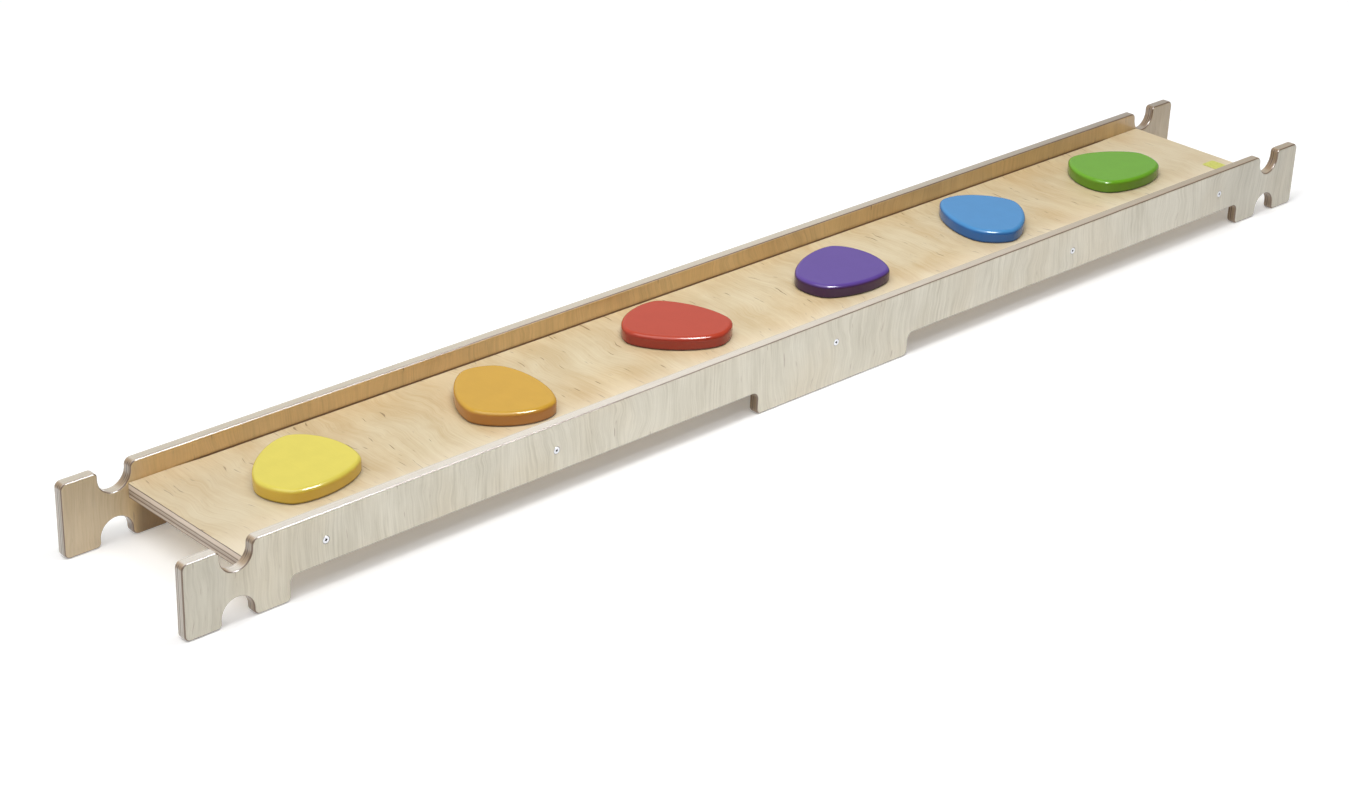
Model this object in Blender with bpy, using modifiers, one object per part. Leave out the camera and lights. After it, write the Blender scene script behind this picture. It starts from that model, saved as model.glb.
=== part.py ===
"""Long plywood stepping board for children's climbing frames.

Two notched side rails stand on edge, a deck lies between them, and six pebble-shaped
steps are screwed to the deck. The notches at both ends hook over or under a ladder's rungs.

Frame: +X runs along the board, +Y from the front rail to the rear rail, +Z up.
The origin lies on the floor below the middle of the board. All sizes are in metres.
"""
import math

import bmesh
import bpy
from mathutils import Matrix, Vector

# Whole board
LENGTH = 2.0
WIDTH = 0.25
GAP = 0.0003            # clearance between pieces that touch or fit

# Side rails, cut from 15 mm plywood
RAIL_THICKNESS = 0.015
RAIL_HEIGHT = 0.095
RAIL_EDGE_ROUND = 0.002
NOTCH_DEPTH = 0.031     # rung notches, in the top and the bottom edge
NOTCH_START = 0.0485    # from the board's end to the notch's near wall
NOTCH_END = 0.0905
NOTCH_ROUND = (NOTCH_END - NOTCH_START) / 2
END_FOOT_END = 0.140    # the end foot runs from the notch to here
FLOOR_CLEARANCE = 0.031  # lower edge of the rail between the feet
MIDDLE_FOOT_LENGTH = 0.280
CORNER_ROUND = 0.008
TAB_LIP_ROUND = 0.006
RAIL_LIP_ROUND = 0.009
FOOT_ROUND = 0.007
INNER_ROUND = 0.009

# Deck, cut from 20 mm plywood
DECK_TOP = 0.070
DECK_THICKNESS = 0.020
DECK_SETBACK = 0.087    # from the board's end to the deck's end
DECK_EDGE_ROUND = 0.0012

# Pebble steps: one closed outline, turned differently for each step.
# The distance from its centre to the tangent that faces angle a is STEP_REACH times one
# plus the cosine waves, which keeps the outline convex.
STEP_REACH = 0.0658
STEP_WAVES = (          # waves, share, phase
    (2, 0.0937, 0.030),
    (3, 0.0589, -0.196),
    (4, 0.0259, 0.578),
    (5, 0.0144, 0.496),
)
STEP_THICKNESS = 0.018
STEP_TOP_ROUND = 0.0045
STEP_FOOT_ROUND = 0.001
STEP_POINTS = 40
STEPS = (               # name, x, y, turn in degrees, colour
    ("yellow", -0.751, -0.001, 213, (0.82, 0.62, 0.06, 1)),
    ("orange", -0.457, -0.002, 79, (0.75, 0.38, 0.05, 1)),
    ("red", -0.156, 0.012, 312, (0.58, 0.07, 0.05, 1)),
    ("purple", 0.135, 0.000, 196, (0.15, 0.06, 0.38, 1)),
    ("blue", 0.434, 0.004, 243, (0.08, 0.28, 0.62, 1)),
    ("green", 0.723, 0.004, 354, (0.16, 0.43, 0.05, 1)),
)

# Countersunk screws
RAIL_SCREW_XS = (-0.812, -0.4755, 0.0, 0.4755, 0.812)
RAIL_SCREW_LENGTH = 0.045
RAIL_SCREW_HEAD = 0.0045    # head radius
RAIL_SCREW_SHANK = 0.0022   # shank radius
STEP_SCREW_LENGTH = 0.030
STEP_SCREW_HEAD = 0.0038
STEP_SCREW_SHANK = 0.0019
STEP_SCREW_SPACING = 0.060
HEAD_RIM = 0.0004           # straight rim above the countersink's cone
RECESS_DEPTH = 0.0015
SCREW_SIDES = 12
PILOT_SPARE = 0.001         # a pilot hole is this much deeper than its screw

# Blank sticker on the deck
LABEL_SIZE = (0.026, 0.045)
LABEL_CENTRE = (0.880, -0.0725)
LABEL_THICKNESS = 0.0003
LABEL_ROUND = 0.003

ARC_STEPS = 3           # segments in a small corner arc
NOTCH_STEPS = 6         # segments in a quarter of a rung notch


def clear_scene():
    """Remove whatever the scene held before."""
    for item in list(bpy.data.objects):
        bpy.data.objects.remove(item, do_unlink=True)


def new_collection(name):
    """Add a collection to the scene."""
    collection = bpy.data.collections.new(name)
    bpy.context.scene.collection.children.link(collection)
    return collection


def new_material(name, colour, roughness, metallic=0.0):
    """A plain Principled material."""
    material = bpy.data.materials.new(name)
    material.use_nodes = True
    shader = material.node_tree.nodes["Principled BSDF"]
    shader.inputs["Base Color"].default_value = colour
    shader.inputs["Roughness"].default_value = roughness
    shader.inputs["Metallic"].default_value = metallic
    return material


def new_object(name, mesh, collection, material=None):
    """Link a mesh as a named object, with its own material."""
    item = bpy.data.objects.new(name, mesh)
    collection.objects.link(item)
    if material and not mesh.materials:
        mesh.materials.append(material)
    return item


def corner_arc(before, corner, after, radius, steps):
    """Points of the arc that rounds a corner between two straight sides."""
    towards_before = (Vector(before) - Vector(corner)).normalized()
    towards_after = (Vector(after) - Vector(corner)).normalized()
    half_angle = towards_before.angle(towards_after) / 2
    bisector = (towards_before + towards_after).normalized()
    centre = Vector(corner) + bisector * radius / math.sin(half_angle)
    reach = radius / math.tan(half_angle)
    start = Vector(corner) + towards_before * reach - centre
    end = Vector(corner) + towards_after * reach - centre
    turn = start.angle_signed(end)
    return [
        centre + Matrix.Rotation(-turn * step / steps, 2) @ start
        for step in range(steps + 1)
    ]


def rounded_outline(corners):
    """Outline through corners given as (x, y, radius)."""
    points = []
    for index, (x, y, radius) in enumerate(corners):
        before = corners[index - 1][:2]
        after = corners[(index + 1) % len(corners)][:2]
        steps = NOTCH_STEPS if radius == NOTCH_ROUND else ARC_STEPS
        arc = corner_arc(before, (x, y), after, radius, steps)
        for point in arc:
            if not points or (point - points[-1]).length > 1e-6:
                points.append(point)
    if (points[0] - points[-1]).length < 1e-6:
        points.pop()
    return points


def slab_mesh(name, points, thickness):
    """Closed slab with flat faces: the outline filled in XY, and thick along Z from 0."""
    curve = bpy.data.curves.new(name, "CURVE")
    curve.dimensions = "2D"
    curve.fill_mode = "BOTH"
    curve.extrude = thickness / 2
    spline = curve.splines.new("POLY")
    spline.points.add(len(points) - 1)
    for spline_point, point in zip(spline.points, points):
        spline_point.co = (point.x, point.y, 0, 1)
    spline.use_cyclic_u = True
    guide = bpy.data.objects.new(name, curve)
    bpy.context.scene.collection.objects.link(guide)
    evaluated = guide.evaluated_get(bpy.context.evaluated_depsgraph_get())
    mesh = bpy.data.meshes.new_from_object(evaluated)
    mesh.name = name
    bpy.data.objects.remove(guide, do_unlink=True)
    bpy.data.curves.remove(curve)

    shape = bmesh.new()
    shape.from_mesh(mesh)
    bmesh.ops.remove_doubles(shape, verts=shape.verts, dist=1e-6)
    bmesh.ops.translate(shape, verts=shape.verts, vec=(0, 0, thickness / 2))
    caps = [face for face in shape.faces if abs(face.normal.z) > 0.9]
    bmesh.ops.delete(shape, geom=caps, context="FACES")
    rims = [edge for edge in shape.edges if edge.is_boundary]
    bmesh.ops.holes_fill(shape, edges=rims, sides=0)
    bmesh.ops.recalc_face_normals(shape, faces=shape.faces)
    shape.to_mesh(mesh)
    shape.free()
    return mesh


def round_rim(mesh, height, radius, segments):
    """Round the rim of a slab at one height."""
    shape = bmesh.new()
    shape.from_mesh(mesh)
    rim = [
        edge for edge in shape.edges
        if all(abs(vertex.co.z - height) < 1e-6 for vertex in edge.verts)
    ]
    bmesh.ops.bevel(
        shape, geom=rim, offset=radius, segments=segments, profile=0.5, affect="EDGES"
    )
    shape.to_mesh(mesh)
    shape.free()


def smooth(mesh, degrees=35):
    """Smooth shading with sharp edges kept."""
    mesh.shade_smooth()
    mesh.set_sharp_from_angle(angle=math.radians(degrees))


def cut(item, cutter):
    """Cut one object's shape out of another."""
    modifier = item.modifiers.new(cutter.name, "BOOLEAN")
    modifier.operation = "DIFFERENCE"
    modifier.solver = "EXACT"
    modifier.object = cutter


def rail_corners():
    """Corners of a rail's outline in length and height, with their radii."""
    top_notch = RAIL_HEIGHT - NOTCH_DEPTH
    left_top = [
        (0, RAIL_HEIGHT, CORNER_ROUND),
        (NOTCH_START, RAIL_HEIGHT, TAB_LIP_ROUND),
        (NOTCH_START, top_notch, NOTCH_ROUND),
        (NOTCH_END, top_notch, NOTCH_ROUND),
        (NOTCH_END, RAIL_HEIGHT, RAIL_LIP_ROUND),
    ]
    middle_foot_start = (LENGTH - MIDDLE_FOOT_LENGTH) / 2
    left_bottom = [
        (middle_foot_start, 0, FOOT_ROUND),
        (middle_foot_start, FLOOR_CLEARANCE, INNER_ROUND),
        (END_FOOT_END, FLOOR_CLEARANCE, INNER_ROUND),
        (END_FOOT_END, 0, FOOT_ROUND),
        (NOTCH_END, 0, CORNER_ROUND),
        (NOTCH_END, NOTCH_DEPTH, NOTCH_ROUND),
        (NOTCH_START, NOTCH_DEPTH, NOTCH_ROUND),
        (NOTCH_START, 0, TAB_LIP_ROUND),
        (0, 0, CORNER_ROUND),
    ]
    left = [(x - LENGTH / 2, y, radius) for x, y, radius in left_bottom + left_top]
    right = [(-x, y, radius) for x, y, radius in reversed(left)]
    return left + right


def rail_mesh(name):
    """A rail lying flat, its outer face at Z = 0."""
    mesh = slab_mesh(name, rounded_outline(rail_corners()), RAIL_THICKNESS)
    round_rim(mesh, 0, RAIL_EDGE_ROUND, 2)
    round_rim(mesh, RAIL_THICKNESS, RAIL_EDGE_ROUND, 2)
    smooth(mesh)
    return mesh


def step_outline():
    """Points of the pebble's outline about its centre."""
    points = []
    for index in range(STEP_POINTS):
        angle = 2 * math.pi * index / STEP_POINTS
        reach = STEP_REACH
        slope = 0
        for count, share, phase in STEP_WAVES:
            reach += STEP_REACH * share * math.cos(count * (angle - phase))
            slope -= STEP_REACH * share * count * math.sin(count * (angle - phase))
        outward = Vector((math.cos(angle), math.sin(angle)))
        along = Vector((-math.sin(angle), math.cos(angle)))
        points.append(outward * reach + along * slope)
    return points


def step_mesh(name):
    """A pebble standing on Z = 0."""
    mesh = slab_mesh(name, step_outline(), STEP_THICKNESS)
    round_rim(mesh, STEP_THICKNESS, STEP_TOP_ROUND, 2)
    round_rim(mesh, 0, STEP_FOOT_ROUND, 1)
    smooth(mesh)
    return mesh


def turned_mesh(name, profile):
    """Closed turned body about Z from a profile of (radius, height), top to bottom."""
    mesh = bpy.data.meshes.new(name)
    points = [(radius, 0, height) for radius, height in profile]
    edges = [(index, index + 1) for index in range(len(points) - 1)]
    mesh.from_pydata(points, edges, [])
    guide = bpy.data.objects.new(name, mesh)
    bpy.context.scene.collection.objects.link(guide)
    modifier = guide.modifiers.new("turn", "SCREW")
    modifier.axis = "Z"
    modifier.steps = SCREW_SIDES
    modifier.render_steps = SCREW_SIDES
    modifier.use_merge_vertices = True
    modifier.merge_threshold = 0.00001
    evaluated = guide.evaluated_get(bpy.context.evaluated_depsgraph_get())
    turned = bpy.data.meshes.new_from_object(evaluated)
    turned.name = name
    bpy.data.objects.remove(guide, do_unlink=True)
    bpy.data.meshes.remove(mesh)
    return turned


def screw_profile(head, shank, length):
    """A countersunk screw's profile: its head is at Z = 0 and its point at -length."""
    cone = HEAD_RIM + head - shank
    return [
        (0, 0),
        (head, 0),
        (head, -HEAD_RIM),
        (shank, -cone),
        (shank, -length + 2 * shank),
        (0, -length),
    ]


def hole_profile(head, shank, length):
    """The hole for such a screw, a gap larger all round and open at the top."""
    cone = HEAD_RIM + head - shank
    above = 0.002
    return [
        (0, above),
        (head + GAP, above),
        (head + GAP, -HEAD_RIM - GAP),
        (shank + GAP, -cone - GAP),
        (shank + GAP, -length - PILOT_SPARE),
        (0, -length - PILOT_SPARE),
    ]


def recess_mesh(name, head):
    """Cross recess cutter: two crossed bars that sit in the screw's head."""
    arm = head * 0.58
    root = head * 0.16
    tip = head * 0.10
    quarter = [(arm, -tip), (arm, tip), (root, root)]
    corners = []
    for turn in range(4):
        rotation = Matrix.Rotation(math.radians(90 * turn), 2)
        corners += [rotation @ Vector(corner) for corner in quarter]
    mesh = slab_mesh(name, corners, RECESS_DEPTH + 0.002)
    mesh.transform(Matrix.Translation((0, 0, -RECESS_DEPTH)))
    return mesh


def screw_mesh(name, head, shank, length, cutters):
    """A countersunk screw with its recess already cut."""
    blank = new_object(name + "_blank", turned_mesh(name, screw_profile(head, shank, length)), cutters)
    recess = new_object(name + "_recess", recess_mesh(name + "_recess", head), cutters)
    cut(blank, recess)
    evaluated = blank.evaluated_get(bpy.context.evaluated_depsgraph_get())
    mesh = bpy.data.meshes.new_from_object(evaluated)
    mesh.name = name
    bpy.data.objects.remove(blank, do_unlink=True)
    bpy.data.objects.remove(recess, do_unlink=True)
    smooth(mesh)
    return mesh


def make_rail(name, side, parts, material):
    """Stand a rail on edge with its outer face at the board's side: -1 front, 1 rear."""
    rail = new_object(name, rail_mesh(name), parts, material)
    stand_up = Matrix.Rotation(math.radians(90), 4, "X")
    if side < 0:
        stand_up = Matrix.Translation((0, RAIL_THICKNESS, 0)) @ stand_up
    rail.matrix_world = Matrix.Translation((0, side * WIDTH / 2, 0)) @ stand_up
    return rail


def make_deck(parts, material):
    """The deck board between the rails."""
    bpy.ops.mesh.primitive_cube_add(size=1)
    deck = bpy.context.object
    deck.name = "deck_panel"
    deck.data.name = "deck_panel"
    for collection in list(deck.users_collection):
        collection.objects.unlink(deck)
    parts.objects.link(deck)
    size = (
        LENGTH - 2 * DECK_SETBACK,
        WIDTH - 2 * RAIL_THICKNESS - 2 * GAP,
        DECK_THICKNESS,
    )
    deck.data.transform(Matrix.Diagonal((*size, 1)))
    deck.location = (0, 0, DECK_TOP - DECK_THICKNESS / 2)
    bevel = deck.modifiers.new("edges", "BEVEL")
    bevel.width = DECK_EDGE_ROUND
    bevel.segments = 1
    deck.data.materials.append(material)
    return deck


def make_label(parts, material):
    """The blank sticker, a gap above the deck."""
    half_x = LABEL_SIZE[0] / 2
    half_y = LABEL_SIZE[1] / 2
    corners = [
        (-half_x, -half_y, LABEL_ROUND),
        (-half_x, half_y, LABEL_ROUND),
        (half_x, half_y, LABEL_ROUND),
        (half_x, -half_y, LABEL_ROUND),
    ]
    mesh = slab_mesh("blank_label", rounded_outline(corners), LABEL_THICKNESS)
    label = new_object("blank_label", mesh, parts, material)
    label.location = (*LABEL_CENTRE, DECK_TOP + GAP)
    return label


def add_rail_screws(side, rail, deck, mesh, hole, parts, cutters):
    """Five screws through one rail into the deck's edge, with their holes."""
    side_name = "front" if side < 0 else "rear"
    height = DECK_TOP - DECK_THICKNESS / 2
    for number, x in enumerate(RAIL_SCREW_XS, start=1):
        place = Matrix.Translation((x, side * WIDTH / 2, height))
        place = place @ Matrix.Rotation(math.radians(-90 * side), 4, "X")
        screw = new_object("rail_screw_%s_%d" % (side_name, number), mesh, parts)
        screw.matrix_world = place
        cutter = new_object("cut_" + screw.name, hole, cutters)
        cutter.matrix_world = place
        cut(rail, cutter)
        cut(deck, cutter)


def add_step(entry, mesh, deck, screw, hole, parts, cutters):
    """One pebble on the deck, with the two screws that hold it from below."""
    colour_name, x, y, turn, colour = entry
    step = new_object("step_" + colour_name, mesh.copy(), parts)
    step.data.name = step.name
    step.data.materials.append(new_material("paint_" + colour_name, colour, 0.3))
    step_place = Matrix.Translation((x, y, DECK_TOP + GAP))
    step_place = step_place @ Matrix.Rotation(math.radians(turn), 4, "Z")
    step.matrix_world = step_place
    for letter, offset in (("a", -STEP_SCREW_SPACING / 2), ("b", STEP_SCREW_SPACING / 2)):
        point = step_place @ Vector((offset, 0, 0))
        place = Matrix.Translation((point.x, point.y, DECK_TOP - DECK_THICKNESS))
        place = place @ Matrix.Rotation(math.radians(180), 4, "X")
        held_by = new_object("step_screw_%s_%s" % (colour_name, letter), screw, parts)
        held_by.matrix_world = place
        cutter = new_object("cut_" + held_by.name, hole, cutters)
        cutter.matrix_world = place
        cut(deck, cutter)
        cut(step, cutter)


def main():
    clear_scene()
    parts = new_collection("stepping_board")
    cutters = new_collection("cutters")

    outer_ply = new_material("birch_rail", (0.72, 0.66, 0.56, 1), 0.45)
    deck_ply = new_material("birch_deck", (0.78, 0.62, 0.40, 1), 0.40)
    zinc = new_material("zinc", (0.75, 0.75, 0.76, 1), 0.3, 1.0)
    lime = new_material("lime_vinyl", (0.70, 0.75, 0.06, 1), 0.4)

    front = make_rail("rail_front", -1, parts, outer_ply)
    rear = make_rail("rail_rear", 1, parts, outer_ply)
    deck = make_deck(parts, deck_ply)
    make_label(parts, lime)

    rail_screw_sizes = (RAIL_SCREW_HEAD, RAIL_SCREW_SHANK, RAIL_SCREW_LENGTH)
    rail_screw = screw_mesh("rail_screw", *rail_screw_sizes, cutters)
    rail_screw.materials.append(zinc)
    rail_hole = turned_mesh("rail_screw_hole", hole_profile(*rail_screw_sizes))
    add_rail_screws(-1, front, deck, rail_screw, rail_hole, parts, cutters)
    add_rail_screws(1, rear, deck, rail_screw, rail_hole, parts, cutters)

    step_screw_sizes = (STEP_SCREW_HEAD, STEP_SCREW_SHANK, STEP_SCREW_LENGTH)
    step_screw = screw_mesh("step_screw", *step_screw_sizes, cutters)
    step_screw.materials.append(zinc)
    step_hole = turned_mesh("step_screw_hole", hole_profile(*step_screw_sizes))
    pebble = step_mesh("step")
    for entry in STEPS:
        add_step(entry, pebble, deck, step_screw, step_hole, parts, cutters)

    for cutter in cutters.objects:
        cutter.hide_render = True
        cutter.display_type = "WIRE"


main()
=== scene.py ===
"""Looks of the long plywood stepping board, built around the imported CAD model.

The rails, deck, pebble steps, screws and sticker are rebuilt with fine edges in the CAD
nodes' places, and each surface has a procedural material worked out from its position.
All sizes are in metres, in the CAD model's frame.
"""
import math

import bmesh
import bpy
from mathutils import Matrix, Vector


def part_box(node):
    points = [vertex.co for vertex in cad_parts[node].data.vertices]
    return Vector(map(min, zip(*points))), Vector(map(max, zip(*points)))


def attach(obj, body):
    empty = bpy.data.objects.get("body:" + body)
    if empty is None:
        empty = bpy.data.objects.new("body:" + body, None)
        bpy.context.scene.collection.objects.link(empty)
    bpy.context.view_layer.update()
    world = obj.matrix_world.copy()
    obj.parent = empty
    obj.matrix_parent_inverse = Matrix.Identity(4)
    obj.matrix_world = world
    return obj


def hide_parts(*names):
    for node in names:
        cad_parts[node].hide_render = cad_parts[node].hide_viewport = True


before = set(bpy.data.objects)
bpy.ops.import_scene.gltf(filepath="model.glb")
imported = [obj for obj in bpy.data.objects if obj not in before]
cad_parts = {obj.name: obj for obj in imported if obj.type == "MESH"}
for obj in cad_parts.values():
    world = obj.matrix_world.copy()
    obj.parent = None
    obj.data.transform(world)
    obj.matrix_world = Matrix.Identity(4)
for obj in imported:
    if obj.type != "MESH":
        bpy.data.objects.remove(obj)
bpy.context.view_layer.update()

# ---------------------------------------------------------------- sizes

# Side rails
FAR_END = 1.0           # from the middle of the board
RAIL_EDGE_ROUND = 0.003
NOTCH_DEPTH = 0.031
NOTCH_START = 0.0485    # from the rail's end to the rung notch
NOTCH_END = 0.0905
NOTCH_ROUND = (NOTCH_END - NOTCH_START) / 2
END_FOOT_END = 0.140
FLOOR_CLEARANCE = 0.031
MIDDLE_FOOT_LENGTH = 0.280
CORNER_ROUND = 0.008
CORNER_STEPS = 10       # straight pieces in a rounded corner
TAB_LIP_ROUND = 0.006
RAIL_LIP_ROUND = 0.009
FOOT_ROUND = 0.007
INNER_ROUND = 0.009

# Deck
DECK_EDGE_ROUND = 0.0012
DECK_STATIONS = 120         # points along each long side, less one
DECK_GAP_REACH = 0.850      # the deck stands off the rails up to here from the middle
DECK_GAP_TAPER = 0.035
DECK_GAP = 0.0021

# Pebble steps: the distance from the centre to the tangent that faces an angle is
# STEP_REACH times one plus the cosine waves
STEP_REACH = 0.0658
STEP_WAVES = (          # waves, share, phase
    (2, 0.0937, 0.030),
    (3, 0.0589, -0.196),
    (4, 0.0259, 0.578),
    (5, 0.0144, 0.496),
)
STEP_TOP_ROUND = 0.0055
STEP_FOOT_ROUND = 0.0018
STEP_SIDES = 180

# Screws; the shares are of the head's radius
RAIL_SCREWS = 5         # on each rail
SCREW_SIDES = 32
SHANK_SHARE = 0.49
HEAD_RIM = 0.0004
HEAD_BEVEL = 0.0002
RECESS_DEPTH = 0.0022
RECESS_TAPER = 0.5
RECESS_ARM_SHARE = 0.60
RECESS_ROOT_SHARE = 0.26
RECESS_TIP_SHARE = 0.15
HOLE_GAP = 0.0005
CUTTER_REACH = 0.002    # how far a cutter stands out of the face that it cuts

LABEL_ROUND = 0.003
SHARP_ANGLE = 35        # degrees; flatter edges than this are shaded smooth

# Plywood layers
RAIL_PLIES = 11
FACE_VENEER = 0.0005
GLUE_LINE = 0.0011
DECK_FACE_SHARE = 0.045     # of the deck's thickness

# Paints, linear RGB: name, turn of the pebble in degrees, colour on top and on the side; the darker
# side colour is painted shade and warm bounce light
STEP_PAINTS = (
    ("yellow", 213, (0.77, 0.66, 0.10), (0.665, 0.45, 0.058)),
    ("orange", 79, (0.63, 0.36, 0.036), (0.44, 0.190, 0.040)),
    ("red", 312, (0.49, 0.052, 0.020), (0.322, 0.032, 0.020)),
    ("purple", 196, (0.110, 0.055, 0.31), (0.045, 0.010, 0.068)),
    ("blue", 243, (0.062, 0.27, 0.58), (0.016, 0.118, 0.385)),
    ("green", 354, (0.145, 0.40, 0.012), (0.107, 0.25, 0.007)),
)

# Veneers, linear RGB: light, dark, warm tint and streak
OUTER_VENEER = ((0.765, 0.715, 0.585), (0.51, 0.46, 0.34), (1.0, 0.95, 0.88), (0.36, 0.27, 0.18))
INNER_VENEER = ((0.75, 0.495, 0.20), (0.49, 0.32, 0.12), (1.0, 0.93, 0.82), (0.24, 0.14, 0.07))
DECK_VENEER = ((0.72, 0.62, 0.42), (0.55, 0.40, 0.20), (1.0, 0.90, 0.76), (0.24, 0.14, 0.06))

# Top edges, linear RGB: colour at the yellow end, at the far end, and where the change starts.
# The paler colours are partly sanded end grain and partly painted sheen of the lamps,
# paler at the yellow end and on the front rail
FRONT_EDGES = ((0.93, 0.87, 0.77), (0.495, 0.39, 0.262), -0.60)
REAR_EDGES = ((0.73, 0.65, 0.52), (0.385, 0.32, 0.243), 0.0)

# Camera and light
CAMERA_PLACE = (-2.4062, -2.3034, 1.5553)
CAMERA_AIM = (-0.2703, -0.1094, 0.050)
CAMERA_ROLL = 2.09
CAMERA_LENS = 74.23
CAMERA_SENSOR = 36
CAMERA_REACH = 60
FLOOR_REACH = 150
FLOOR_GLOW = 0.17
BRIGHT_SIDE = (-0.30, 0.954, 0.0)   # where the surroundings are brightest
REAR_GLOW = 0.60
FRONT_GLOW = 0.22
CEILING_POWER = 1.75
CEILING_WIDTH = 60      # degrees
CEILING_TURN = (8, -20, 0)

# Softboxes: place, aim, size, power. The key only lights, and the other two only glint.
KEY_BOX = ((-0.10, -0.263, 1.41), (-0.10, -0.263, 0), (0.9, 0.28), 6.5)
GLINT_BOX = ((-0.18, -0.78, 1.41), (-0.20, 0.0, 0.09), (0.60, 0.75), 42)
STRIP_BOX = ((0.33, -0.78, 1.41), (0.33, 0.0, 0.09), (0.66, 0.30), 24)


# ---------------------------------------------------------------- shapes

def new_piece(name, mesh, material):
    """Link a mesh as a named piece with one material."""
    piece = bpy.data.objects.new(name, mesh)
    bpy.context.scene.collection.objects.link(piece)
    mesh.materials.clear()
    mesh.materials.append(material)
    return piece


def corner_arc(before, corner, after, radius):
    """Points of the arc that rounds a corner between two straight sides."""
    towards_before = (before - corner).normalized()
    towards_after = (after - corner).normalized()
    half_angle = towards_before.angle(towards_after) / 2
    bisector = (towards_before + towards_after).normalized()
    centre = corner + bisector * radius / math.sin(half_angle)
    reach = radius / math.tan(half_angle)
    start = corner + towards_before * reach - centre
    end = corner + towards_after * reach - centre
    turn = start.angle_signed(end)
    return [
        centre + Matrix.Rotation(-turn * step / CORNER_STEPS, 2) @ start
        for step in range(CORNER_STEPS + 1)
    ]


def rounded_outline(corners):
    """Outline through corners given as (x, y, radius)."""
    points = []
    for index, (x, y, radius) in enumerate(corners):
        before = Vector(corners[index - 1][:2])
        after = Vector(corners[(index + 1) % len(corners)][:2])
        if radius == 0:
            arc = [Vector((x, y))]
        else:
            arc = corner_arc(before, Vector((x, y)), after, radius)
        for point in arc:
            if not points or (point - points[-1]).length > 1e-6:
                points.append(point)
    if (points[0] - points[-1]).length < 1e-6:
        points.pop()
    return points


def slab(name, outline, thickness, rounds):
    """Slab on Z = 0 from an outline. rounds gives (height, radius, segments) per rim."""
    shape = bmesh.new()
    corners = [shape.verts.new((point.x, point.y, 0)) for point in outline]
    base = shape.faces.new(corners)
    raised = bmesh.ops.extrude_face_region(shape, geom=[base])
    top = [item for item in raised["geom"] if isinstance(item, bmesh.types.BMVert)]
    bmesh.ops.translate(shape, verts=top, vec=(0, 0, thickness))
    bmesh.ops.recalc_face_normals(shape, faces=shape.faces)
    for height, radius, segments in rounds:
        rim = [
            edge for edge in shape.edges
            if all(abs(vertex.co.z - height) < 1e-7 for vertex in edge.verts)
        ]
        bmesh.ops.bevel(
            shape, geom=rim, offset=radius, segments=segments, profile=0.5, affect="EDGES"
        )
    mesh = bpy.data.meshes.new(name)
    shape.to_mesh(mesh)
    shape.free()
    return mesh


def apply_modifiers(piece):
    """Turn a piece's modifiers into mesh."""
    graph = bpy.context.evaluated_depsgraph_get()
    mesh = bpy.data.meshes.new_from_object(piece.evaluated_get(graph))
    piece.modifiers.clear()
    piece.data = mesh


def smooth(piece):
    """Smooth shading with sharp edges kept and flat faces kept flat."""
    piece.data.shade_smooth()
    piece.data.set_sharp_from_angle(angle=math.radians(SHARP_ANGLE))
    weighted = piece.modifiers.new("flat faces stay flat", "WEIGHTED_NORMAL")
    weighted.keep_sharp = True
    weighted.weight = 100


def cut_holes(piece, cutters):
    """Cut a list of cutter objects out of a piece, and remove them."""
    for cutter in cutters:
        modifier = piece.modifiers.new("hole", "BOOLEAN")
        modifier.operation = "DIFFERENCE"
        modifier.solver = "EXACT"
        modifier.object = cutter
    bpy.context.view_layer.update()
    apply_modifiers(piece)
    for cutter in cutters:
        bpy.data.objects.remove(cutter, do_unlink=True)


def turned(name, profile):
    """Closed body turned about Z from (radius, height) pairs, top to bottom."""
    shape = bmesh.new()
    points = [shape.verts.new((radius, 0, height)) for radius, height in profile]
    edges = [shape.edges.new(pair) for pair in zip(points, points[1:])]
    bmesh.ops.spin(
        shape, geom=points + edges, cent=(0, 0, 0), axis=(0, 0, 1),
        angle=2 * math.pi, steps=SCREW_SIDES, use_merge=True,
    )
    bmesh.ops.remove_doubles(shape, verts=shape.verts, dist=1e-7)
    bmesh.ops.recalc_face_normals(shape, faces=shape.faces)
    mesh = bpy.data.meshes.new(name)
    shape.to_mesh(mesh)
    shape.free()
    return mesh


def rail_corners(length, height):
    """Corners of a rail's outline in length and height, with their radii."""
    left_bottom = [
        ((length - MIDDLE_FOOT_LENGTH) / 2, 0, FOOT_ROUND),
        ((length - MIDDLE_FOOT_LENGTH) / 2, FLOOR_CLEARANCE, INNER_ROUND),
        (END_FOOT_END, FLOOR_CLEARANCE, INNER_ROUND),
        (END_FOOT_END, 0, FOOT_ROUND),
        (NOTCH_END, 0, CORNER_ROUND),
        (NOTCH_END, NOTCH_DEPTH, NOTCH_ROUND),
        (NOTCH_START, NOTCH_DEPTH, NOTCH_ROUND),
        (NOTCH_START, 0, TAB_LIP_ROUND),
        (0, 0, CORNER_ROUND),
    ]
    left_top = [
        (0, height, CORNER_ROUND),
        (NOTCH_START, height, TAB_LIP_ROUND),
        (NOTCH_START, height - NOTCH_DEPTH, NOTCH_ROUND),
        (NOTCH_END, height - NOTCH_DEPTH, NOTCH_ROUND),
        (NOTCH_END, height, RAIL_LIP_ROUND),
    ]
    left = [(x - length / 2, z, radius) for x, z, radius in left_bottom + left_top]
    right = [(-x, z, radius) for x, z, radius in reversed(left)]
    return left + right


def screw_sizes(node, axis):
    """Sizes of a screw from its CAD node: head radius, shank radius and length."""
    low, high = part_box(node)
    spread = high - low
    head = spread[(axis + 1) % 3] / 2
    return head, head * SHANK_SHARE, spread[axis]


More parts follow.
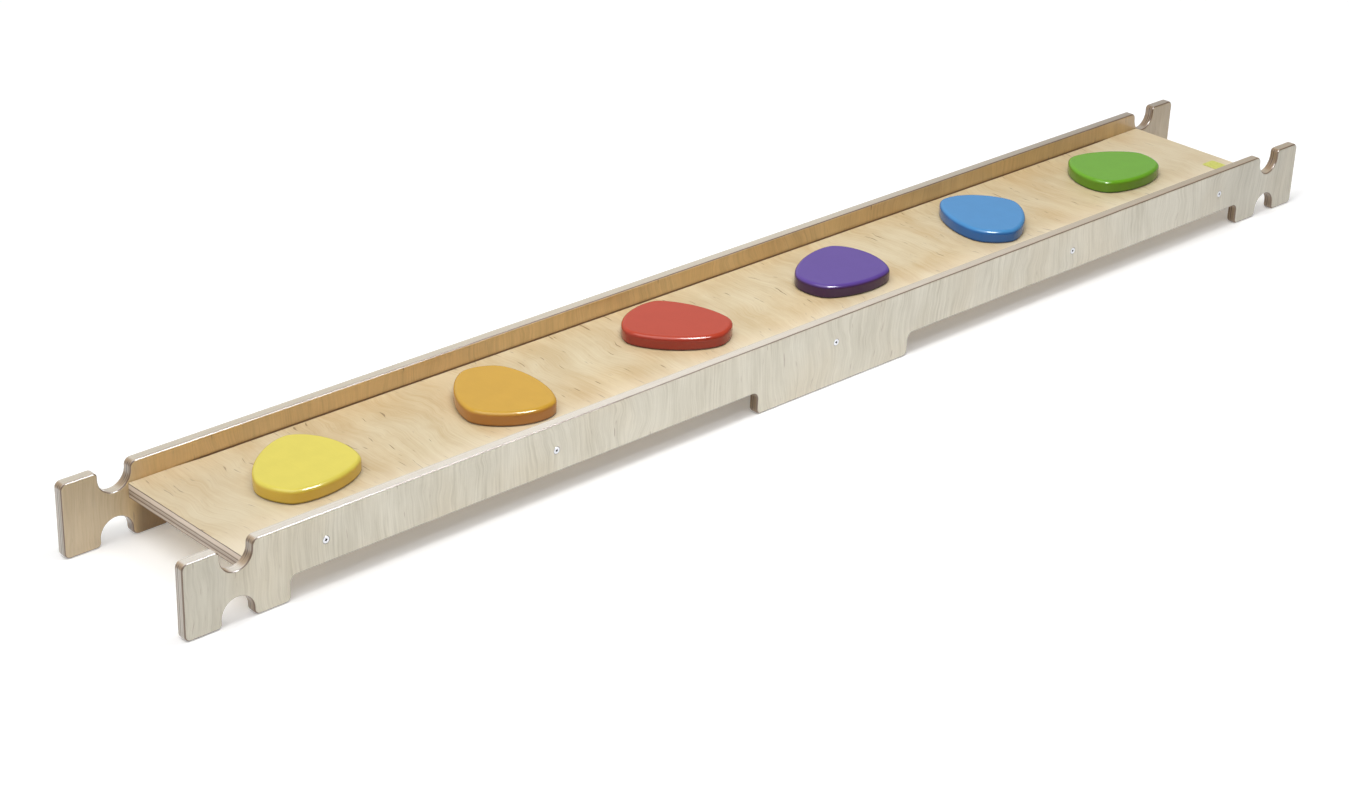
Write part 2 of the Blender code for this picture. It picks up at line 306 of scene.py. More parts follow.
def screw_hole(name, head, shank, length, place):
    """Cutter for a screw's countersunk hole, open at Z = 0."""
    cone = HEAD_RIM + head - shank
    profile = [
        (0, CUTTER_REACH),
        (head + HOLE_GAP, CUTTER_REACH),
        (head + HOLE_GAP, -HEAD_RIM - HOLE_GAP),
        (shank + HOLE_GAP, -cone - HOLE_GAP),
        (shank + HOLE_GAP, -length),
        (0, -length),
    ]
    cutter = bpy.data.objects.new(name, turned(name, profile))
    bpy.context.scene.collection.objects.link(cutter)
    cutter.matrix_world = place
    return cutter


def make_screw_mesh(name, head, shank, length, material):
    """A countersunk screw with a cross recess, its head's face at Z = 0."""
    cone = HEAD_RIM + head - shank
    profile = [
        (0, 0),
        (head - HEAD_BEVEL, 0),
        (head, -HEAD_BEVEL),
        (head, -HEAD_RIM),
        (shank, -cone),
        (shank, -length + 2 * shank),
        (0, -length),
    ]
    piece = new_piece(name, turned(name, profile), material)
    arm = head * RECESS_ARM_SHARE
    root = head * RECESS_ROOT_SHARE
    tip = head * RECESS_TIP_SHARE
    quarter = [Vector((arm, -tip)), Vector((arm, tip)), Vector((root, root))]
    outline = []
    for turn in range(4):
        outline += [Matrix.Rotation(math.radians(90 * turn), 2) @ corner for corner in quarter]
    cross = slab("recess", outline, RECESS_DEPTH + CUTTER_REACH, [])
    recess = bpy.data.objects.new("recess", cross)
    bpy.context.scene.collection.objects.link(recess)
    for vertex in cross.vertices:
        if vertex.co.z < CUTTER_REACH / 2:
            vertex.co.x *= RECESS_TAPER
            vertex.co.y *= RECESS_TAPER
        vertex.co.z -= RECESS_DEPTH
    cut_holes(piece, [recess])
    mesh = piece.data
    bpy.data.objects.remove(piece, do_unlink=True)
    return mesh


# ---------------------------------------------------------------- materials

class Shade:
    """A material's node tree, with short ways to add and join nodes."""

    def __init__(self, name):
        self.material = bpy.data.materials.new(name)
        self.material.use_nodes = True
        self.tree = self.material.node_tree
        self.shader = self.tree.nodes["Principled BSDF"]

    def node(self, kind, inputs=(), **settings):
        """Add a node. inputs are (socket, value or output) pairs."""
        item = self.tree.nodes.new("ShaderNode" + kind)
        for key, value in settings.items():
            setattr(item, key, value)
        for socket, value in inputs:
            if isinstance(value, bpy.types.NodeSocket):
                self.tree.links.new(value, item.inputs[socket])
            else:
                item.inputs[socket].default_value = value
        return item

    def place(self):
        """Position on the object, as its X, Y and Z."""
        split = self.node("SeparateXYZ", [(0, self.node("TexCoord").outputs["Object"])])
        return split.outputs

    def facing(self):
        """The surface's normal in the object's frame, as X, Y and Z."""
        split = self.node("SeparateXYZ", [(0, self.node("TexCoord").outputs["Normal"])])
        return split.outputs

    def math(self, operation, first, second=0.0, third=0.0):
        """One sum on one, two or three values."""
        pairs = [(0, first), (1, second), (2, third)]
        return self.node("Math", pairs, operation=operation).outputs[0]

    def vector(self, x, y, z):
        """A vector from three values."""
        return self.node("CombineXYZ", [(0, x), (1, y), (2, z)]).outputs[0]

    def noise(self, x, y, z, detail=2.0, roughness=0.5, distortion=0.0):
        """Noise from 0 to 1 at already scaled coordinates."""
        pairs = [
            ("Vector", self.vector(x, y, z)),
            ("Scale", 1.0),
            ("Detail", detail),
            ("Roughness", roughness),
            ("Distortion", distortion),
        ]
        return self.node("TexNoise", pairs).outputs["Fac"]

    def stretched(self, place, scales, seed=0.0, **settings):
        """Noise with its own scale along each axis."""
        x, y, z = (self.scaled(value, scale) for value, scale in zip(place, scales))
        return self.noise(x, y, self.math("ADD", z, seed), **settings)

    def span(self, value, low, high, to_low=0.0, to_high=1.0):
        """Map a value from one range to another, smoothly and clamped."""
        pairs = [("Value", value), ("From Min", low), ("From Max", high)]
        pairs += [("To Min", to_low), ("To Max", to_high)]
        return self.node("MapRange", pairs, interpolation_type="SMOOTHSTEP").outputs[0]

    def mix(self, factor, first, second, blend="MIX"):
        """Blend two colours."""
        pairs = [(0, factor), (6, first), (7, second)]
        return self.node("Mix", pairs, data_type="RGBA", blend_type=blend).outputs[2]

    def choose(self, factor, first, second):
        """Blend two numbers."""
        return self.node("Mix", [(0, factor), (2, first), (3, second)]).outputs[0]

    def ramp(self, value, stops):
        """Colours along a value, from (position, colour) pairs."""
        item = self.node("ValToRGB", [(0, value)])
        elements = item.color_ramp.elements
        while len(elements) < len(stops):
            elements.new(0.5)
        for element, (position, colour) in zip(elements, stops):
            element.position = position
            element.color = (*colour, 1)
        return item.outputs[0]

    def scaled(self, value, factor):
        """A value times a number."""
        return self.math("MULTIPLY", value, factor)

    def dimmed(self, colour, factor):
        """A colour times one value."""
        grey = self.vector(factor, factor, factor)
        return self.mix(1.0, colour, grey, blend="MULTIPLY")

    def coat(self, weight, roughness):
        """A clear lacquer, the same all over."""
        self.shader.inputs["Coat Weight"].default_value = weight
        self.shader.inputs["Coat Roughness"].default_value = roughness

    def finish(self, colour, roughness, height, depth):
        """Join colour, roughness and bump to the shader."""
        bump = self.node("Bump", [("Strength", 1.0), ("Distance", depth), ("Height", height)])
        for socket, value in (("Base Color", colour), ("Roughness", roughness)):
            self.tree.links.new(value, self.shader.inputs[socket])
        self.tree.links.new(bump.outputs[0], self.shader.inputs["Normal"])
        return self.material


def rgba(colour):
    """A colour socket's value from linear RGB."""
    return (*colour, 1.0)


def veneer(shade, across, along, seed, colours, line_share, patch_share, marked=0.685):
    """Rotary-cut veneer: its colour and height, with grain running one way."""
    light, dark, blush, streak = colours

    def pattern(position, across_scale, along_scale, shift, **settings):
        """Noise drawn out along the grain."""
        return shade.noise(
            shade.scaled(position, across_scale), shade.scaled(along, along_scale),
            seed + shift, **settings
        )

    drift = pattern(across, 4.0, 7.0, 0, detail=3.0, distortion=0.6)
    wander = shade.math("MULTIPLY_ADD", drift, 0.062, across)
    bands = pattern(wander, 62.0, 5.0, 3, detail=4.0)
    rings = pattern(wander, 270.0, 7.0, 5)
    ringed = pattern(across, 14.0, 11.0, 9)
    fibres = pattern(wander, 1500.0, 26.0, 11, detail=3.0, roughness=0.7)
    patches = pattern(wander, 24.0, 9.0, 17, detail=4.0, roughness=0.6, distortion=0.3)
    warmth = pattern(across, 9.0, 7.0, 19)
    marks = pattern(wander, 210.0, 24.0, 23)
    pores = pattern(across, 700.0, 60.0, 29, detail=1.0)
    threads = pattern(wander, 440.0, 14.0, 31)

    # Bands, ring lines, fibres, broad patches and fine threads darken the wood
    rings = shade.math("MULTIPLY", shade.span(rings, 0.48, 0.62), shade.span(ringed, 0.34, 0.58))
    tone = shade.scaled(shade.span(bands, 0.32, 0.70), 0.32 * line_share)
    tone = shade.math("MULTIPLY_ADD", rings, 0.46 * line_share, tone)
    tone = shade.math("MULTIPLY_ADD", shade.span(fibres, 0.3, 0.75), 0.36 * line_share, tone)
    tone = shade.math("MULTIPLY_ADD", shade.span(patches, 0.34, 0.68), patch_share, tone)
    threads = shade.span(threads, 0.38, 0.62, -0.5, 0.5)
    tone = shade.math("MULTIPLY_ADD", threads, 0.36 * line_share, tone)
    colour = shade.mix(tone, rgba(light), rgba(dark))
    warm = shade.scaled(shade.span(warmth, 0.42, 0.66), 0.55)
    colour = shade.mix(warm, colour, rgba(blush), blend="MULTIPLY")

    # Short dark streaks and fine pores lie on top
    marks = shade.scaled(shade.span(marks, marked, marked + 0.065), 0.80)
    pores = shade.scaled(shade.span(pores, 0.68, 0.80), 0.35)
    colour = shade.mix(shade.math("MAXIMUM", marks, pores), colour, rgba(streak))
    height = shade.math("MULTIPLY_ADD", fibres, 0.6, shade.scaled(bands, 0.4))
    height = shade.math("MULTIPLY_ADD", pores, -1.2, height)
    return colour, height


def rail_faces(shade, x, z, deck_top, seed):
    """Outer and inner face of a rail, each with its colour and height."""
    outer, outer_height = veneer(
        shade, x, z, seed, OUTER_VENEER, line_share=0.62, patch_share=0.22
    )
    inner, inner_height = veneer(
        shade, x, z, seed + 40, INNER_VENEER, line_share=0.50, patch_share=0.22
    )
    # Past the deck's ends the inner face is nearly as pale as the outer one; its warmer colour
    # beside the deck is partly painted warm light bounced off the deck
    end_x = shade.math("ABSOLUTE", x)
    past_deck_colour = shade.mix(1.0, outer, rgba((0.77, 0.68, 0.57)), blend="MULTIPLY")
    inner = shade.mix(shade.span(end_x, 0.87, 0.94, 0.0, 0.8), inner, past_deck_colour)

    # Painted shade: both faces are darkened towards the far end, and the outer face also at the
    # yellow end's tip, standing in for the lamps' falloff
    inner = shade.dimmed(inner, shade.span(x, -0.2, 0.6, 1.0, 0.82))
    tone = shade.math(
        "MULTIPLY", shade.span(x, -0.3, 0.1, 1.0, 0.93), shade.span(x, 0.68, 0.90, 1.0, 0.82)
    )
    tone = shade.math("MULTIPLY", tone, shade.span(x, -0.97, -0.88, 0.88, 1.0))
    outer = shade.dimmed(outer, tone)

    # Painted shade: below the deck the inner face is darkened, where the deck shades it
    under = shade.math(
        "MULTIPLY", shade.span(z, deck_top - 0.034, deck_top - 0.016, 0.95, 0.0),
        shade.span(end_x, 0.895, 0.915, 1.0, 0.0),
    )
    inner = shade.mix(under, inner, rgba((0.38, 0.345, 0.32)), blend="MULTIPLY")
    return (outer, outer_height), (inner, inner_height)


def rail_fibres(shade, place, facing, layer):
    """Fibres on a rail's cut edges, and how far their ends show.

    The grain stands in every other layer and lies in the ones between.
    """
    standing = shade.stretched(place, (700.0, 700.0, 30.0), detail=3.0)
    lying = shade.stretched(place, (30.0, 700.0, 700.0), detail=3.0)
    odd = shade.math("MODULO", shade.math("FLOOR", layer), 2.0)
    ends = shade.choose(
        odd, shade.math("ABSOLUTE", facing[2]), shade.math("ABSOLUTE", facing[0])
    )
    return shade.choose(odd, standing, lying), ends


def rail_brown_and_shade(shade, place, facing):
    """How brown an edge that looks along the board is: in notches, on feet and turned up."""
    # The brown in the notches and the feet's cut-outs is partly end grain and partly painted shade
    end_x = shade.math("ABSOLUTE", place[0])
    notch = shade.math(
        "MULTIPLY", shade.span(end_x, FAR_END - NOTCH_END - 0.004, FAR_END - NOTCH_END + 0.004),
        shade.math("LESS_THAN", end_x, FAR_END - NOTCH_START + 0.003),
    )
    low = shade.math(
        "MULTIPLY", shade.span(place[2], 0.028, 0.042, 1.0, 0.0),
        shade.math("LESS_THAN", end_x, 0.985),
    )
    brown = shade.math("MAXIMUM", notch, shade.span(facing[2], 0.08, 0.35))
    brown = shade.math("MAXIMUM", brown, low)
    along = shade.span(shade.math("ABSOLUTE", facing[0]), 0.2, 0.6)
    return shade.math("MULTIPLY", brown, along)


def rail_edge(shade, place, facing, depth, thickness, tones):
    """Colour of a rail's cut edges across its layers, and their fibres."""
    light = (0.44, 0.39, 0.32)
    tan = (0.21, 0.165, 0.12)
    brown = (0.05, 0.032, 0.02)
    layer = shade.scaled(depth, RAIL_PLIES / thickness)
    colour = shade.ramp(shade.scaled(layer, 1 / RAIL_PLIES), [
        (0.000, tan), (0.130, tan), (0.170, light), (0.300, light), (0.330, tan),
        (0.360, light), (0.490, light), (0.520, brown), (0.560, brown), (0.590, light),
        (0.690, light), (0.730, tan), (0.800, tan), (0.830, light), (0.880, light),
        (0.920, tan),
    ])
    # Upward-facing edges take an even, paler colour: partly sanded end grain, partly painted sheen
    # that fades along the board
    near_tone, far_tone, change_x = tones
    sanded_and_sheen = shade.mix(shade.span(place[0], change_x, FAR_END), rgba(near_tone), rgba(far_tone))
    colour = shade.mix(shade.span(facing[2], 0.45, 0.95, 0.0, 0.85), colour, sanded_and_sheen)
    brown_and_shade = rail_brown_and_shade(shade, place, facing)
    colour = shade.mix(brown_and_shade, colour, rgba((0.66, 0.52, 0.38)), blend="MULTIPLY")

    # Fibres and the seams between layers
    fibre, ends = rail_fibres(shade, place, facing, layer)
    tone = shade.scaled(shade.span(fibre, 0.3, 0.7), 0.16)
    tone = shade.math("MULTIPLY_ADD", ends, 0.10, tone)
    seam = shade.math("ABSOLUTE", shade.math("SUBTRACT", shade.math("FRACT", layer), 0.5))
    seam = shade.scaled(shade.span(seam, 0.36, 0.5), 0.25)
    colour = shade.mix(shade.math("MAXIMUM", seam, tone), colour, rgba((0.22, 0.15, 0.10)))

    # Glue lines under both face veneers
    skin = shade.math("MINIMUM", depth, shade.math("SUBTRACT", thickness, depth))
    glue = shade.math("ABSOLUTE", shade.math("SUBTRACT", skin, FACE_VENEER + GLUE_LINE / 2))
    glue = shade.span(glue, GLUE_LINE * 0.35, GLUE_LINE * 0.75, 0.92, 0.0)
    return shade.mix(glue, colour, rgba((0.17, 0.105, 0.065))), fibre


def make_rail_wood(name, outer_y, inner_y, deck_top, tones, seed):
    """Birch plywood on edge: its layers go from the outer face to the inner one."""
    shade = Shade(name)
    place = shade.place()
    x, y, z = place
    thickness = abs(outer_y - inner_y)
    depth = shade.math("ABSOLUTE", shade.math("SUBTRACT", y, outer_y))
    waver = shade.noise(shade.scaled(x, 18.0), shade.scaled(z, 18.0), seed)
    waver = shade.math("MULTIPLY_ADD", waver, 0.0003, -0.00015)
    depth = shade.math("ADD", depth, waver)
    edge, fibre = rail_edge(shade, place, shade.facing(), depth, thickness, tones)
    (outer, outer_height), (inner, inner_height) = rail_faces(shade, x, z, deck_top, seed)
    on_outer = shade.math("LESS_THAN", depth, FACE_VENEER)
    on_inner = shade.math("GREATER_THAN", depth, thickness - FACE_VENEER)
    colour = shade.mix(on_outer, edge, outer)
    colour = shade.mix(on_inner, colour, inner)

    # A dark line on the inner face where the deck stands off it
    joint = shade.math("MULTIPLY", on_inner, shade.span(z, deck_top, deck_top + 0.0008, 1.0, 0.0))
    joint = shade.math("MULTIPLY", joint, shade.math("GREATER_THAN", z, deck_top - 0.02))
    end_x = shade.math("ABSOLUTE", x)
    along = shade.span(end_x, DECK_GAP_REACH - DECK_GAP_TAPER, DECK_GAP_REACH, 1.0, 0.0)
    colour = shade.mix(shade.math("MULTIPLY", joint, along), colour, rgba((0.30, 0.17, 0.08)))

    height = shade.choose(on_outer, shade.scaled(fibre, 0.25), outer_height)
    height = shade.choose(on_inner, height, inner_height)
    roughness = shade.span(height, 0.2, 0.8, 0.36, 0.50)
    shade.coat(1.0, 0.14)
    return shade.finish(colour, roughness, height, 0.00012)


def deck_plies(shade, place, share):
    """Colour of the deck's cut ends at a share of its thickness, and their grain."""
    light = (0.77, 0.65, 0.54)
    dull = (0.58, 0.49, 0.39)
    tan = (0.44, 0.36, 0.29)
    brown = (0.15, 0.09, 0.06)
    glue = (0.11, 0.065, 0.045)
    colour = shade.ramp(share, [
        (0.000, light), (DECK_FACE_SHARE, light), (0.055, glue), (0.095, glue), (0.110, light),
        (0.340, light), (0.400, dull), (0.440, brown), (0.470, brown), (0.510, dull),
        (0.590, tan), (0.650, tan), (0.680, brown), (0.725, brown), (0.755, tan),
        (0.880, dull), (0.940, brown), (0.965, glue), (1.000, tan),
    ])
    grain = shade.stretched(place, (900.0, 45.0, 1500.0), detail=3.0)
    speckle = shade.stretched(place, (60.0, 900.0, 900.0))
    tone = shade.math("MULTIPLY_ADD", shade.span(grain, 0.3, 0.7), 0.5, shade.scaled(speckle, 0.5))
    return shade.mix(shade.scaled(tone, 0.26), colour, rgba((0.30, 0.20, 0.11))), tone


def make_deck_wood(name, top_z, thickness):
    """Deck plywood: veneer with grain across the board, and layers down from the top."""
    shade = Shade(name)
    place = shade.place()
    x, y, z = place
    face, face_height = veneer(
        shade, x, y, 5.0, DECK_VENEER, line_share=0.42, patch_share=0.48, marked=0.662
    )
    # Painted light: the face is made paler along the front rail and towards both ends
    front = shade.span(y, -0.110, -0.035, 0.60, 0.0)
    face = shade.mix(front, face, rgba((0.94, 0.86, 0.70)))
    ends = shade.span(shade.math("ABSOLUTE", x), 0.70, 0.90, 0.0, 0.22)
    face = shade.mix(ends, face, rgba((0.80, 0.72, 0.56)))

    waver = shade.noise(shade.scaled(x, 25.0), shade.scaled(y, 30.0), 2.0, detail=3.0)
    waver = shade.math("MULTIPLY_ADD", waver, 0.0009, -0.00045)
    depth = shade.math("ADD", shade.math("SUBTRACT", top_z, z), waver)
    share = shade.scaled(depth, 1 / thickness)
    plies, tone = deck_plies(shade, place, share)
    top = shade.math("LESS_THAN", share, DECK_FACE_SHARE)
    bottom = shade.math("LESS_THAN", shade.facing()[2], -0.5)
    on_face = shade.math("MAXIMUM", top, bottom)
    colour = shade.mix(on_face, plies, face)
    height = shade.choose(on_face, tone, face_height)
    roughness = shade.span(height, 0.2, 0.8, 0.38, 0.52)
    shade.coat(0.2, 0.25)
    return shade.finish(colour, roughness, height, 0.00012)


def make_paint(name, colour, shaded_side_colour, foot_z, seed):
    """Satin paint on a wooden step, with painted shade: darker on the sides and dark where it meets
    the deck.
    """
    shade = Shade(name)
    place = shade.place()
    patches = shade.stretched(place, (45.0, 45.0, 0.0), seed, detail=3.0)
    grain = shade.stretched(place, (700.0, 45.0, 700.0), seed)
    peel = shade.stretched(place, (520.0, 520.0, 520.0), seed)
    worn = shade.stretched(place, (260.0, 260.0, 260.0), seed, detail=3.0)
    # Painted shade: faces that look less upwards take the darker side colour
    side = shade.span(shade.facing()[2], 0.15, 0.80, 1.0, 0.0)
    base = shade.mix(side, rgba(colour), rgba(shaded_side_colour))
    thin = shade.scaled(shade.span(patches, 0.3, 0.7), 0.14)
    thin = shade.math("MULTIPLY_ADD", shade.span(grain, 0.3, 0.75), 0.08, thin)
    base = shade.mix(thin, base, rgba((0.78, 0.78, 0.78)), blend="MULTIPLY")
    specks = shade.scaled(shade.span(worn, 0.77, 0.82), 0.35)
    base = shade.mix(specks, base, rgba([part * 0.35 for part in colour]))
    # Painted contact shade: a dark band at the bottom where the step meets the deck
    foot = shade.span(place[2], foot_z + 0.0012, foot_z + 0.0034, 0.75, 0.0)
    base = shade.mix(foot, base, rgba([part * 0.20 + 0.006 for part in shaded_side_colour]))
    height = shade.math("MULTIPLY_ADD", peel, 0.5, shade.scaled(grain, 0.5))
    roughness = shade.span(patches, 0.25, 0.75, 0.11, 0.17)
    return shade.finish(base, roughness, height, 0.00003)


def make_zinc(name):
    """Zinc-plated steel, dull, with painted shade making the recess dark."""
    shade = Shade(name)
    place = shade.place()
    x, y, z = place
    bloom = shade.stretched(place, (900.0, 900.0, 900.0), detail=3.0)
    radius = shade.math("SQRT", shade.math("MULTIPLY_ADD", x, x, shade.math("MULTIPLY", y, y)))
    turning = shade.noise(shade.scaled(radius, 9000.0), 0.0, 0.0, detail=1.0)
    dull = shade.span(bloom, 0.3, 0.7)
    steel = shade.mix(dull, rgba((0.84, 0.85, 0.89)), rgba((0.66, 0.66, 0.69)))
    # Painted shade: the recess is darkened to near black
    recess_shade = shade.span(z, -0.35 * RECESS_DEPTH, -0.02 * RECESS_DEPTH, 1.0, 0.0)
    steel = shade.mix(recess_shade, steel, rgba((0.02, 0.018, 0.02)))
    height = shade.math("MULTIPLY_ADD", turning, 0.5, shade.scaled(bloom, 0.5))
    roughness = shade.span(bloom, 0.25, 0.75, 0.26, 0.42)
    shade.shader.inputs["Metallic"].default_value = 1.0
    return shade.finish(steel, roughness, height, 0.00003)


def make_sticker(name):
    """Lime yellow paper sticker, lightly mottled."""
    shade = Shade(name)
    place = shade.place()
    mottle = shade.stretched(place, (260.0, 260.0, 0.0), detail=4.0)
    fibre = shade.stretched(place, (1800.0, 1800.0, 0.0), detail=3.0)
    colour = shade.mix(
        shade.span(mottle, 0.3, 0.7), rgba((0.66, 0.66, 0.13)), rgba((0.56, 0.57, 0.10))
    )
    colour = shade.mix(shade.scaled(fibre, 0.15), colour, rgba((0.80, 0.80, 0.35)))
    roughness = shade.span(mottle, 0.3, 0.7, 0.34, 0.46)
    return shade.finish(colour, roughness, fibre, 0.00002)


def make_floor_paint(name):
    """Matt white studio sweep."""
    shade = Shade(name)
    cloud = shade.stretched(shade.place(), (3.0, 3.0, 0.0))
    colour = shade.mix(cloud, rgba((0.94, 0.94, 0.94)), rgba((0.93, 0.93, 0.93)))
    shade.shader.inputs["Specular IOR Level"].default_value = 0.1
    shade.shader.inputs["Emission Color"].default_value = (1, 1, 1, 1)
    shade.shader.inputs["Emission Strength"].default_value = FLOOR_GLOW
    return shade.finish(colour, shade.span(cloud, 0.0, 1.0, 0.88, 0.92), cloud, 0.0)


# ---------------------------------------------------------------- pieces

def install(piece, slot, *nodes):
    """Ride on the model and stand in for CAD nodes."""
    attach(piece, "root")
    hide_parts(*nodes)


def outward_place(node, axis, sign):
    """Frame at a screw head's middle, its Z pointing out along the axis."""
    low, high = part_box(node)
    middle = (low + high) / 2
    middle[axis] = high[axis] if sign > 0 else low[axis]
    out = Vector((0, 0, 0))
    out[axis] = sign
    turn = Vector((0, 0, 1)).rotation_difference(out).to_matrix().to_4x4()
    return Matrix.Translation(middle) @ turn


def make_rail(name, side, screw_nodes):
    """A rail with fine rounds and countersunk holes. side is -1 in front and 1 behind."""
    low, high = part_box(name)
    spread = high - low
    outline = rounded_outline(rail_corners(spread.x, spread.z))
    rounds = [(0, RAIL_EDGE_ROUND, 5), (spread.y, RAIL_EDGE_ROUND, 5)]
    mesh = slab(name, outline, spread.y, rounds)
    mesh.transform(Matrix.Rotation(math.radians(90), 4, "X"))
    mesh.transform(Matrix.Translation((0, high.y, low.z)))
    outer, inner = (low.y, high.y) if side < 0 else (high.y, low.y)
    deck_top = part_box("deck_panel")[1].z
    tones = FRONT_EDGES if side < 0 else REAR_EDGES
    wood = make_rail_wood(name + "_wood", outer, inner, deck_top, tones, 10.0 + side)
    piece = new_piece("board_" + name, mesh, wood)
    cutters = []
    for node in screw_nodes:
        place = outward_place(node, 1, side)
        cutters.append(screw_hole("hole", *screw_sizes(node, 1), place))
    cut_holes(piece, cutters)
    smooth(piece)
    install(piece, "rail_birch", name)


def make_deck():
    """The deck, with rounded edges and long sides that stand off the rails in the middle."""
    low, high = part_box("deck_panel")
    spread = high - low
    outline = []
    for side in (-1, 1):
        for index in range(DECK_STATIONS + 1):
            x = side * spread.x * (index / DECK_STATIONS - 0.5)
            reach = (DECK_GAP_REACH - abs(x)) / DECK_GAP_TAPER
            stand_off = DECK_GAP * max(0.0, min(1.0, reach))
            outline.append(Vector((-x, side * (spread.y / 2 - stand_off))))
    rounds = [(0, DECK_EDGE_ROUND, 3), (spread.z, DECK_EDGE_ROUND, 3)]
    mesh = slab("deck", outline, spread.z, rounds)
    mesh.transform(Matrix.Translation((0, 0, low.z)))
    piece = new_piece("board_deck", mesh, make_deck_wood("deck_wood", high.z, spread.z))
    smooth(piece)
    install(piece, "deck_birch", "deck_panel")


def pebble_outline():
    """Points of the pebble's outline about its centre."""
    points = []
    for index in range(STEP_SIDES):
        angle = 2 * math.pi * index / STEP_SIDES
        reach = STEP_REACH
        slope = 0
        for waves, share, phase in STEP_WAVES:
            reach += STEP_REACH * share * math.cos(waves * (angle - phase))
            slope -= STEP_REACH * share * waves * math.sin(waves * (angle - phase))
        outward = Vector((math.cos(angle), math.sin(angle)))
        along = Vector((-math.sin(angle), math.cos(angle)))
        points.append(outward * reach + along * slope)
    return points


def make_steps():
    """The six painted pebbles."""
    for number, (colour_name, turn, colour, shaded_side_colour) in enumerate(STEP_PAINTS):
        node = "step_" + colour_name
        low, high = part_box(node)
        rounds = [(high.z - low.z, STEP_TOP_ROUND, 7), (0, STEP_FOOT_ROUND, 2)]
        mesh = slab(node, pebble_outline(), high.z - low.z, rounds)
        mesh.transform(Matrix.Rotation(math.radians(turn), 4, "Z"))
        xs = [vertex.co.x for vertex in mesh.vertices]
        ys = [vertex.co.y for vertex in mesh.vertices]
        middle = Vector(((max(xs) + min(xs)) / 2, (max(ys) + min(ys)) / 2, 0))
        base = Vector(((low.x + high.x) / 2, (low.y + high.y) / 2, low.z))
        mesh.transform(Matrix.Translation(base - middle))
        paint = make_paint("paint_" + colour_name, colour, shaded_side_colour, low.z, 3.7 * number)
        piece = new_piece("pebble_" + colour_name, mesh, paint)
        smooth(piece)
        install(piece, "paint_" + colour_name, node)


def make_label():
    """The blank sticker."""
    low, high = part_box("blank_label")
    corners = [
        (low.x, low.y, LABEL_ROUND), (high.x, low.y, LABEL_ROUND),
        (high.x, high.y, LABEL_ROUND), (low.x, high.y, LABEL_ROUND),
    ]
    mesh = slab("sticker", rounded_outline(corners), high.z - low.z, [])
    mesh.transform(Matrix.Translation((0, 0, low.z)))
    piece = new_piece("sticker", mesh, make_sticker("sticker_paper"))
    install(piece, "lime_sticker", "blank_label")


def make_screws(nodes, axis, zinc):
    """Detailed screws in the place of the CAD ones, with one mesh for all of them.

    nodes gives each CAD node with the side that its head faces along the axis.
    """
    mesh = make_screw_mesh("screw", *screw_sizes(nodes[0][0], axis), zinc)
    for number, (node, sign) in enumerate(nodes):
        piece = bpy.data.objects.new("fixing_" + node, mesh)
        bpy.context.scene.collection.objects.link(piece)
        spin = Matrix.Rotation(math.radians(37 * number + 12), 4, "Z")
        piece.matrix_world = outward_place(node, axis, sign) @ spin
        smooth(piece)
        install(piece, "zinc_screw", node)


# ---------------------------------------------------------------- studio

def area_light(name, place, aim, size, power):
    """A rectangular softbox aimed at a point."""
    light = bpy.data.lights.new(name, "AREA")
    light.shape = "RECTANGLE"
    light.size, light.size_y = size
    light.energy = power
    item = bpy.data.objects.new(name, light)
    bpy.context.scene.collection.objects.link(item)
    item.location = place
    item.rotation_euler = (Vector(aim) - Vector(place)).to_track_quat("-Z", "Y").to_euler()
    return item


def light_only(light, pieces):
    """Let a light reach some pieces only."""
    lit = bpy.data.collections.new(light.name + "_lit")
    for piece in pieces:
        lit.objects.link(bpy.data.objects[piece])
    light.light_linking.receiver_collection = lit


def make_world(scene):
    """Surroundings: a bright sweep behind the board and a dim studio in front of it."""
    world = bpy.data.worlds.new("studio")
    world.use_nodes = True
    tree = world.node_tree
    position = tree.nodes.new("ShaderNodeTexCoord")
    behind = tree.nodes.new("ShaderNodeVectorMath")
    behind.operation = "DOT_PRODUCT"
    behind.inputs[1].default_value = BRIGHT_SIDE
    strength = tree.nodes.new("ShaderNodeMapRange")
    strength.interpolation_type = "SMOOTHSTEP"
    for socket, value in zip(strength.inputs[1:5], (-0.3, 0.7, FRONT_GLOW, REAR_GLOW)):
        socket.default_value = value
    background = tree.nodes["Background"]
    background.inputs["Color"].default_value = (1, 1, 1, 1)
    tree.links.new(position.outputs["Generated"], behind.inputs[0])
    tree.links.new(behind.outputs["Value"], strength.inputs["Value"])
    tree.links.new(strength.outputs[0], background.inputs["Strength"])
    scene.world = world


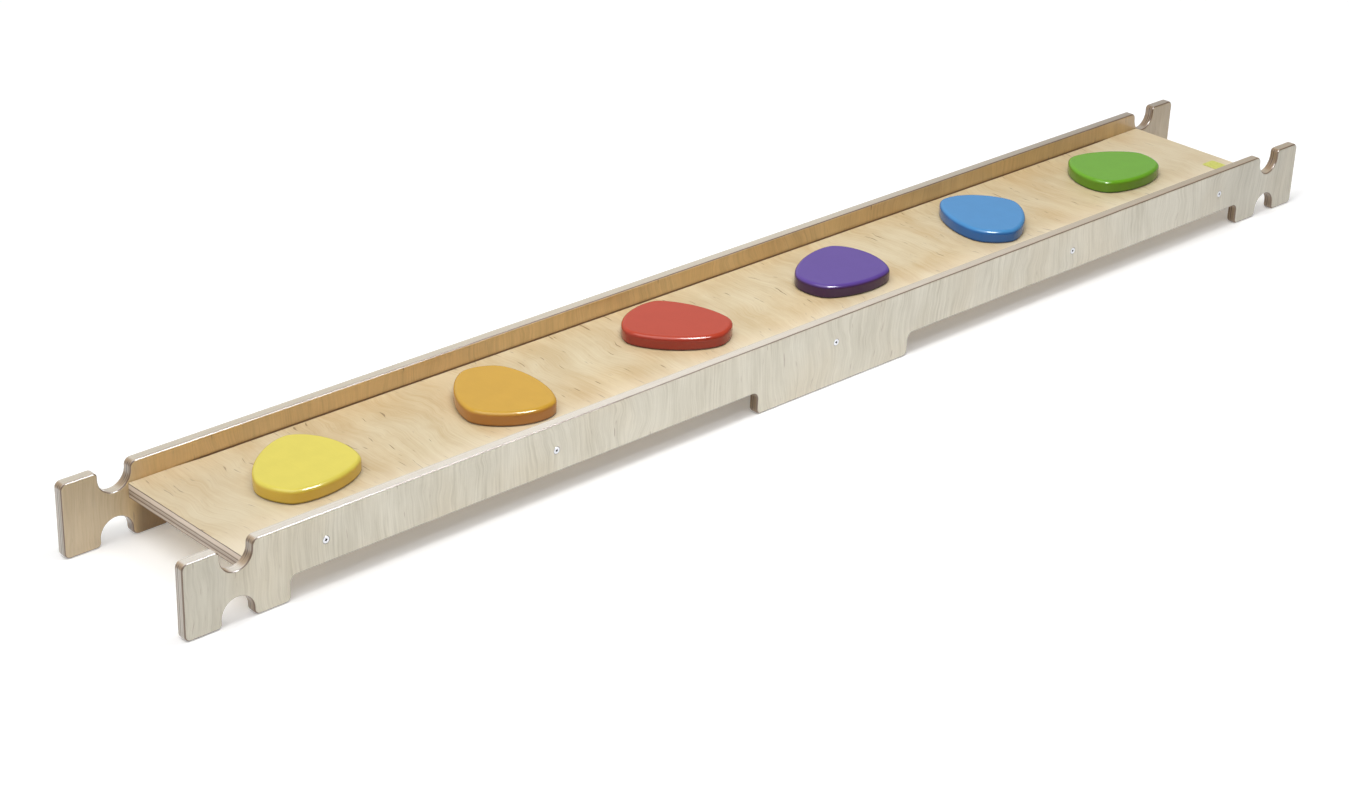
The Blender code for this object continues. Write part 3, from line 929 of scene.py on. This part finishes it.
def make_studio():
    """Floor, lights and camera."""
    scene = bpy.context.scene
    scene.view_settings.view_transform = "Standard"
    shape = bmesh.new()
    bmesh.ops.create_grid(shape, x_segments=1, y_segments=1, size=FLOOR_REACH)
    mesh = bpy.data.meshes.new("floor")
    shape.to_mesh(mesh)
    shape.free()
    floor = new_piece("floor", mesh, make_floor_paint("floor_paint"))

    make_world(scene)
    sun = bpy.data.lights.new("ceiling", "SUN")
    sun.energy = CEILING_POWER
    sun.angle = math.radians(CEILING_WIDTH)
    item = bpy.data.objects.new("ceiling", sun)
    scene.collection.objects.link(item)
    item.rotation_euler = [math.radians(angle) for angle in CEILING_TURN]
    area_light("key", *KEY_BOX).visible_glossy = False
    area_light("glint", *GLINT_BOX).visible_diffuse = False
    area_light("strip", *STRIP_BOX).visible_diffuse = False

    camera = bpy.data.objects.new("camera", bpy.data.cameras.new("camera"))
    scene.collection.objects.link(camera)
    direction = Vector(CAMERA_AIM) - Vector(CAMERA_PLACE)
    roll = Matrix.Rotation(math.radians(CAMERA_ROLL), 4, "Z")
    turn = direction.to_track_quat("-Z", "Y").to_matrix().to_4x4()
    camera.matrix_world = Matrix.Translation(CAMERA_PLACE) @ turn @ roll
    camera.data.lens = CAMERA_LENS
    camera.data.sensor_width = CAMERA_SENSOR
    camera.data.clip_end = CAMERA_REACH
    scene.camera = camera


def main():
    """Build the studio and every piece."""
    make_studio()
    numbers = range(1, RAIL_SCREWS + 1)
    front_screws = [f"rail_screw_front_{number}" for number in numbers]
    rear_screws = [f"rail_screw_rear_{number}" for number in numbers]
    step_screws = [f"step_screw_{paint[0]}_{end}" for paint in STEP_PAINTS for end in "ab"]
    make_rail("rail_front", -1, front_screws)
    make_rail("rail_rear", 1, rear_screws)
    light_only(bpy.data.objects["strip"], ["board_rail_front", "board_rail_rear"])
    make_deck()
    make_steps()
    make_label()
    zinc = make_zinc("zinc")
    make_screws([(node, -1) for node in front_screws] + [(node, 1) for node in rear_screws], 1, zinc)
    make_screws([(node, -1) for node in step_screws], 2, zinc)


main()
